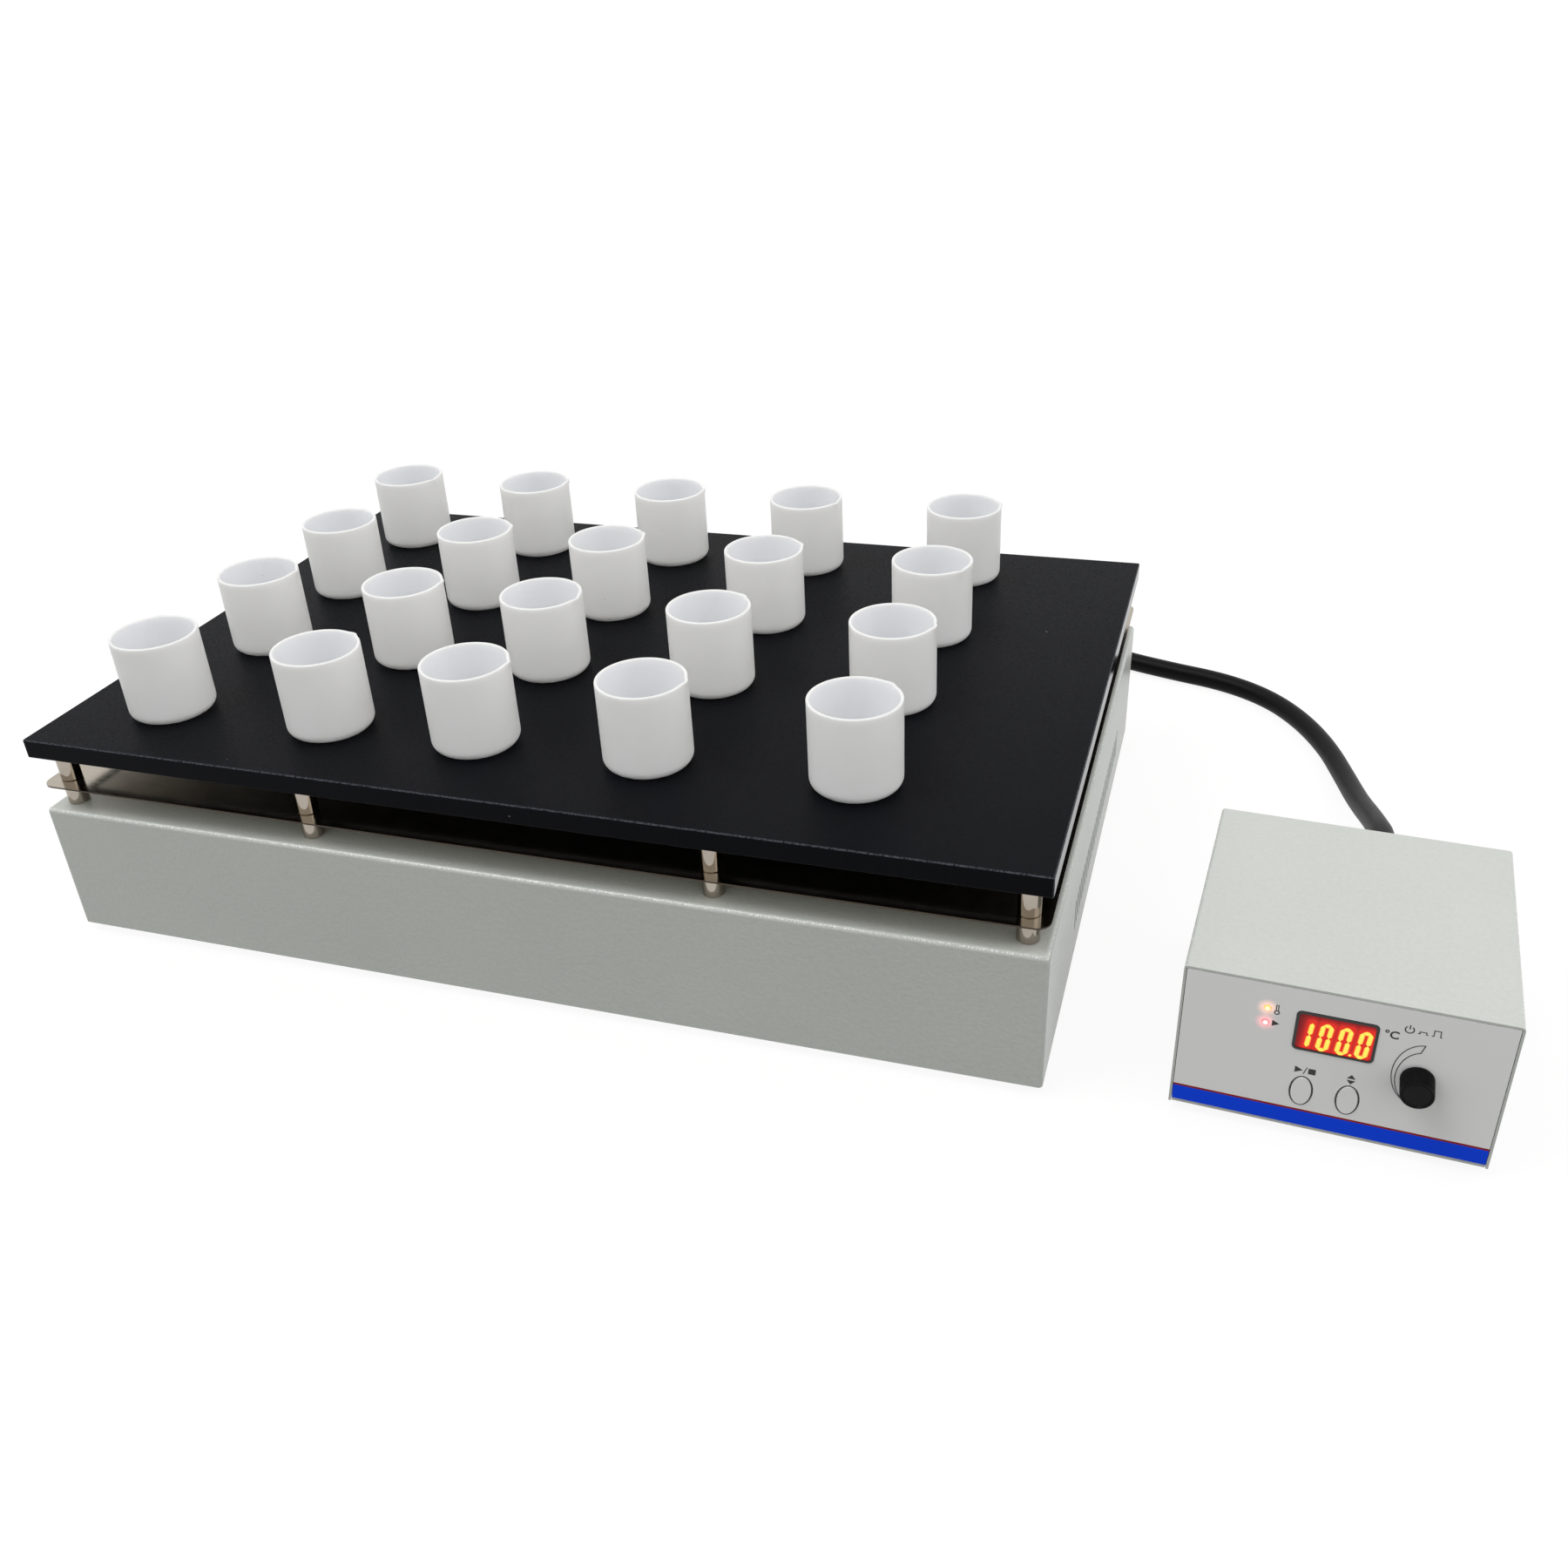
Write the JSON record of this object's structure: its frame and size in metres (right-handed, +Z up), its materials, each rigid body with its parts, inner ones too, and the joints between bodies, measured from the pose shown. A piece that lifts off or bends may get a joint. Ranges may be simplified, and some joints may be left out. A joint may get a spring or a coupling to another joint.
{
  "type": "dry block heater",
  "caption": "Dry block heater: black anodised hot plate on bright posts over a low steel case, white lift-off sample cups, and a wired control box with display, keys and knob.",
  "frame": {"origin": "on the table, under the middle of the heater and its control box together", "axes": "+X from the heater to its control box, +Y from the front to the rear, +Z up"},
  "size_m": [0.8196, 0.5524, 0.1864],
  "materials": {
    "powder_coat": "fine textured powder coat, pale grey",
    "zinc_sheet": "plain zinc-plated sheet",
    "black_anodised": "satin black anodised",
    "polished_stainless": "polished sheet",
    "bright_nickel": "polished nickel plate",
    "fastener_steel": "zinc plated",
    "mica": "pressed mica sheet",
    "phenolic": "moulded black",
    "glass_sleeve": "woven glass-fibre sleeve",
    "black_rubber": "satin black rubber",
    "black_nylon": "moulded black nylon",
    "knob_black": "black with a spun face",
    "overlay_print": "printed polyester film, fine grain",
    "red_acrylic": "clear dark red",
    "lamp_lens": "moulded lens",
    "display_block": "moulded display block",
    "circuit_board": "green solder mask",
    "encoder_metal": "stamped metal",
    "iron_core": "lacquered laminations",
    "white_ptfe": "turned white PTFE"
  },
  "bodies": {
    "base": {"base_feet": "black_rubber", "base_gland": "black_nylon", "base_plate": "zinc_sheet", "board_standoffs": "fastener_steel", "box_chassis": "powder_coat", "box_cover": "powder_coat", "box_feet": "black_rubber", "box_gland": "black_nylon", "case_shell": "powder_coat", "clamp_plate": "zinc_sheet", "clamp_screws": "fastener_steel", "control_board": "circuit_board", "cover_screws": "fastener_steel", "display_module": "display_block", "display_window": "red_acrylic", "gland_locknuts": "black_nylon", "heat_shield": "polished_stainless", "heater_element": "mica", "heating_plate": "black_anodised", "indicator_lamps": "lamp_lens", "key_switches": "phenolic", "lead_sleeve": "glass_sleeve", "link_cable": "black_rubber", "lower_spacers": "bright_nickel", "mains_inlet": "phenolic", "panel_overlay": "overlay_print", "power_transformer": "iron_core", "rotary_encoder": "encoder_metal", "solid_state_relay": "phenolic", "stud_nuts": "fastener_steel", "support_studs": "fastener_steel", "temperature_probe": "fastener_steel", "terminal_block": "phenolic", "thermal_cutout": "phenolic", "upper_spacers": "bright_nickel"},
    "plunger": {"switch_plunger": "phenolic"},
    "knob": {"control_knob": "knob_black", "knob_spindle": "fastener_steel"},
    "start_key": {"start_button": "overlay_print"},
    "set_key": {"set_button": "overlay_print"},
    "cup_1_1": {"cup_1_1": "white_ptfe"},
    "cup_1_2": {"cup_1_2": "white_ptfe"},
    "cup_1_3": {"cup_1_3": "white_ptfe"},
    "cup_1_4": {"cup_1_4": "white_ptfe"},
    "cup_1_5": {"cup_1_5": "white_ptfe"},
    "cup_2_1": {"cup_2_1": "white_ptfe"},
    "cup_2_2": {"cup_2_2": "white_ptfe"},
    "cup_2_3": {"cup_2_3": "white_ptfe"},
    "cup_2_4": {"cup_2_4": "white_ptfe"},
    "cup_2_5": {"cup_2_5": "white_ptfe"},
    "cup_3_1": {"cup_3_1": "white_ptfe"},
    "cup_3_2": {"cup_3_2": "white_ptfe"},
    "cup_3_3": {"cup_3_3": "white_ptfe"},
    "cup_3_4": {"cup_3_4": "white_ptfe"},
    "cup_3_5": {"cup_3_5": "white_ptfe"},
    "cup_4_1": {"cup_4_1": "white_ptfe"},
    "cup_4_2": {"cup_4_2": "white_ptfe"},
    "cup_4_3": {"cup_4_3": "white_ptfe"},
    "cup_4_4": {"cup_4_4": "white_ptfe"},
    "cup_4_5": {"cup_4_5": "white_ptfe"}
  },
  "joints": [
    {"name": "knob_push", "type": "slide", "parent": "base", "child": "plunger", "axis": [0.0663, 0.9978, 0], "range_m": [0, 0.001], "stiffness_N_per_m": 1500},
    {"name": "knob_turn", "type": "hinge", "parent": "plunger", "child": "knob", "pos_m": [0.36148, -0.19298, 0.052], "axis": [-0.0663, -0.9978, 0], "range_deg": [-150, 150]},
    {"name": "start_press", "type": "slide", "parent": "base", "child": "start_key", "axis": [0.0663, 0.9978, 0], "range_m": [0, 0.0006], "stiffness_N_per_m": 2000},
    {"name": "set_press", "type": "slide", "parent": "base", "child": "set_key", "axis": [0.0663, 0.9978, 0], "range_m": [0, 0.0006], "stiffness_N_per_m": 2000},
    {"name": "cup_1_1_lift", "type": "slide", "parent": "base", "child": "cup_1_1", "axis": [0, 0, 1], "range_m": [0, 0.08]},
    {"name": "cup_1_2_lift", "type": "slide", "parent": "base", "child": "cup_1_2", "axis": [0, 0, 1], "range_m": [0, 0.08]},
    {"name": "cup_1_3_lift", "type": "slide", "parent": "base", "child": "cup_1_3", "axis": [0, 0, 1], "range_m": [0, 0.08]},
    {"name": "cup_1_4_lift", "type": "slide", "parent": "base", "child": "cup_1_4", "axis": [0, 0, 1], "range_m": [0, 0.08]},
    {"name": "cup_1_5_lift", "type": "slide", "parent": "base", "child": "cup_1_5", "axis": [0, 0, 1], "range_m": [0, 0.08]},
    {"name": "cup_2_1_lift", "type": "slide", "parent": "base", "child": "cup_2_1", "axis": [0, 0, 1], "range_m": [0, 0.08]},
    {"name": "cup_2_2_lift", "type": "slide", "parent": "base", "child": "cup_2_2", "axis": [0, 0, 1], "range_m": [0, 0.08]},
    {"name": "cup_2_3_lift", "type": "slide", "parent": "base", "child": "cup_2_3", "axis": [0, 0, 1], "range_m": [0, 0.08]},
    {"name": "cup_2_4_lift", "type": "slide", "parent": "base", "child": "cup_2_4", "axis": [0, 0, 1], "range_m": [0, 0.08]},
    {"name": "cup_2_5_lift", "type": "slide", "parent": "base", "child": "cup_2_5", "axis": [0, 0, 1], "range_m": [0, 0.08]},
    {"name": "cup_3_1_lift", "type": "slide", "parent": "base", "child": "cup_3_1", "axis": [0, 0, 1], "range_m": [0, 0.08]},
    {"name": "cup_3_2_lift", "type": "slide", "parent": "base", "child": "cup_3_2", "axis": [0, 0, 1], "range_m": [0, 0.08]},
    {"name": "cup_3_3_lift", "type": "slide", "parent": "base", "child": "cup_3_3", "axis": [0, 0, 1], "range_m": [0, 0.08]},
    {"name": "cup_3_4_lift", "type": "slide", "parent": "base", "child": "cup_3_4", "axis": [0, 0, 1], "range_m": [0, 0.08]},
    {"name": "cup_3_5_lift", "type": "slide", "parent": "base", "child": "cup_3_5", "axis": [0, 0, 1], "range_m": [0, 0.08]},
    {"name": "cup_4_1_lift", "type": "slide", "parent": "base", "child": "cup_4_1", "axis": [0, 0, 1], "range_m": [0, 0.08]},
    {"name": "cup_4_2_lift", "type": "slide", "parent": "base", "child": "cup_4_2", "axis": [0, 0, 1], "range_m": [0, 0.08]},
    {"name": "cup_4_3_lift", "type": "slide", "parent": "base", "child": "cup_4_3", "axis": [0, 0, 1], "range_m": [0, 0.08]},
    {"name": "cup_4_4_lift", "type": "slide", "parent": "base", "child": "cup_4_4", "axis": [0, 0, 1], "range_m": [0, 0.08]},
    {"name": "cup_4_5_lift", "type": "slide", "parent": "base", "child": "cup_4_5", "axis": [0, 0, 1], "range_m": [0, 0.08]}
  ]
}
